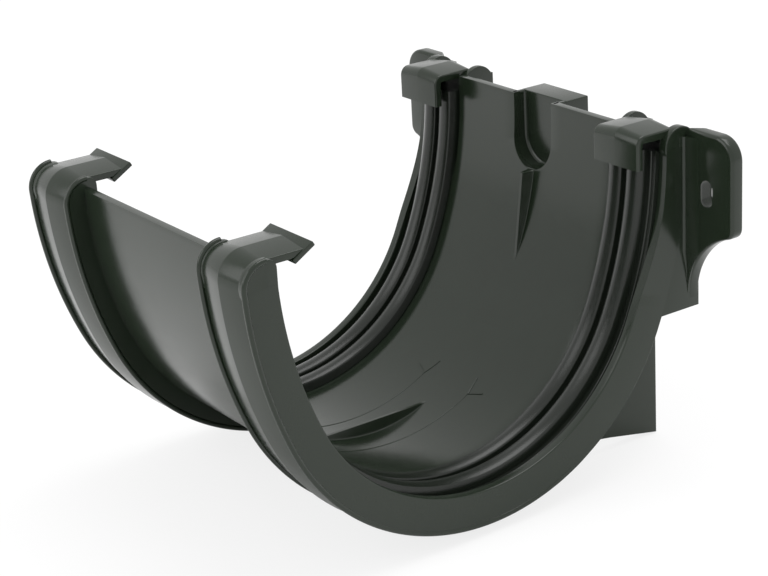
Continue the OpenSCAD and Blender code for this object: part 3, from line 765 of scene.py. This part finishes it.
def seal_section():
    """Closed (d, x) outline of a seal: two round ridges and a lipped edge over a base."""
    low, high = SEAL_FIT - CHANNEL_IN, CHANNEL_OUT - SEAL_FIT
    width = (high - SEAL_EDGE - low - SEAL_GROOVE_W) / 2
    across = np.linspace(-width / 2 + .25, width / 2 - .25, 17)
    fall = SEAL_RIDGE_R - np.sqrt(SEAL_RIDGE_R ** 2 - across ** 2)
    ridge = np.stack([fall - SEAL_PROUD, across], 1)
    valley, floor_d = SEAL_GROOVE_D - SEAL_PROUD, CHANNEL_FLOOR - SEAL_FIT
    first, second = low + width / 2, high - SEAL_EDGE - width / 2
    last = second + width / 2
    a = np.radians(np.linspace(0, 180, 9))
    lip = np.stack([SEAL_EDGE_D - SEAL_LIP_R * np.sin(a), high - SEAL_EDGE / 2 - SEAL_LIP_R * np.cos(a)], 1)
    shoulder = SEAL_RIDGE_R - math.sqrt(SEAL_RIDGE_R ** 2 - (width / 2) ** 2) - SEAL_PROUD + .22
    groove_mid, groove_half = (low + last) / 2, SEAL_GROOVE_W / 2
    groove = np.stack([valley - groove_half + groove_half * np.sin(a),
                       groove_mid - groove_half * np.cos(a)], 1)
    return np.concatenate([
        [(floor_d, low), (shoulder, low)], ridge + (0, first), [(shoulder, first + width / 2)], groove,
        [(shoulder, second - width / 2)], ridge + (0, second),
        [(shoulder, last), (SEAL_EDGE_D, last + 0.2)], lip, [(SEAL_EDGE_D, high), (floor_d, high)]])


def seal(side, node):
    tag = "right" if side > 0 else "left"
    route = section_run(FRONT_TIP_H - SEAL_SHORT, REAR_TIP_H - SEAL_SHORT)
    made = bar(tag + "_seal_ring", swept(seal_section(), route, side * RING_X, side), SEAL_FINISH, smooth=50)
    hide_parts(node)
    return made


pieces = ring(1) + ring(-1) + [trough()] + pocket() + stops() + insertion_lines()
for piece in pieces:
    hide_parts("union_body")
seal(1, "right_seal")
seal(-1, "left_seal")


# Studio: white surroundings, pale floor, one soft lamp, and the camera

def studio():
    """White dome that lights evenly, over a pale floor that keeps a soft shadow."""
    scene = bpy.context.scene
    scene.view_settings.view_transform = "Standard"
    world = bpy.data.worlds.new("white_room")
    scene.world = world
    world.use_nodes = True
    back = world.node_tree.nodes["Background"]
    back.inputs["Color"].default_value = (1, 1, 1, 1)
    back.inputs["Strength"].default_value = 1.0

    s = Shader("pale_floor")
    rays = s.node("ShaderNodeLightPath", {}, {})
    seen = Sum(s, rays.outputs["Is Camera Ray"])
    matt = s.node("ShaderNodeBsdfDiffuse", {}, {"Color": (0.86, 0.86, 0.86, 1)})
    glow = s.node("ShaderNodeEmission", {}, {"Color": (1, 1, 1, 1), "Strength": 1.0})
    both = s.node("ShaderNodeMixShader", {}, {
        0: seen * 0.8, 1: Sum(s, matt.outputs[0]), 2: Sum(s, glow.outputs[0])})
    s.finish(both)
    mesh = bpy.data.meshes.new("floor")
    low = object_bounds()[0][2] - 0.0002
    mesh.from_pydata([(-6, -6, low), (6, -6, low), (6, 6, low), (-6, 6, low)], [], [(0, 1, 2, 3)])
    mesh.materials.append(s.material)
    floor = bpy.data.objects.new("floor", mesh)
    scene.collection.objects.link(floor)
    for name, place, width, power in (("front_lamp", (-0.5, -1.5, 0.85), 1.3, 9.0),
                                      ("top_lamp", (0.1, 0.35, 1.6), 1.2, 14.0)):
        lamp = bpy.data.lights.new(name, "AREA")
        lamp.shape, lamp.size, lamp.energy = "SQUARE", width, power
        thing = bpy.data.objects.new(name, lamp)
        at = Vector(place)
        thing.matrix_world = Matrix.LocRotScale(at, (-at).to_track_quat("-Z", "Y"), None)
        scene.collection.objects.link(thing)


def camera():
    """Camera at the photograph's angle, from its fitted place, direction and length."""
    data = bpy.data.cameras.new("camera")
    thing = bpy.data.objects.new("camera", data)
    bpy.context.scene.collection.objects.link(thing)
    place = to_metres(np.array([444.2, -298.3, 241.8]))
    look = np.array([-0.7707, 0.5300, -0.3537])
    right = np.array([0.5825, 0.8111, -0.0540])
    look /= np.linalg.norm(look)
    right -= look * (right @ look)
    right /= np.linalg.norm(right)
    up = np.cross(right, look)
    turn = np.eye(4)
    turn[:3, 0], turn[:3, 1], turn[:3, 2], turn[:3, 3] = right, up, -look, place
    thing.matrix_world = Matrix(turn.tolist())
    data.sensor_width, data.lens = 36.0, 36.0 * 2157.36 / 768
    data.clip_start, data.clip_end = 0.01, 50.0
    bpy.context.scene.camera = thing


studio()
camera()
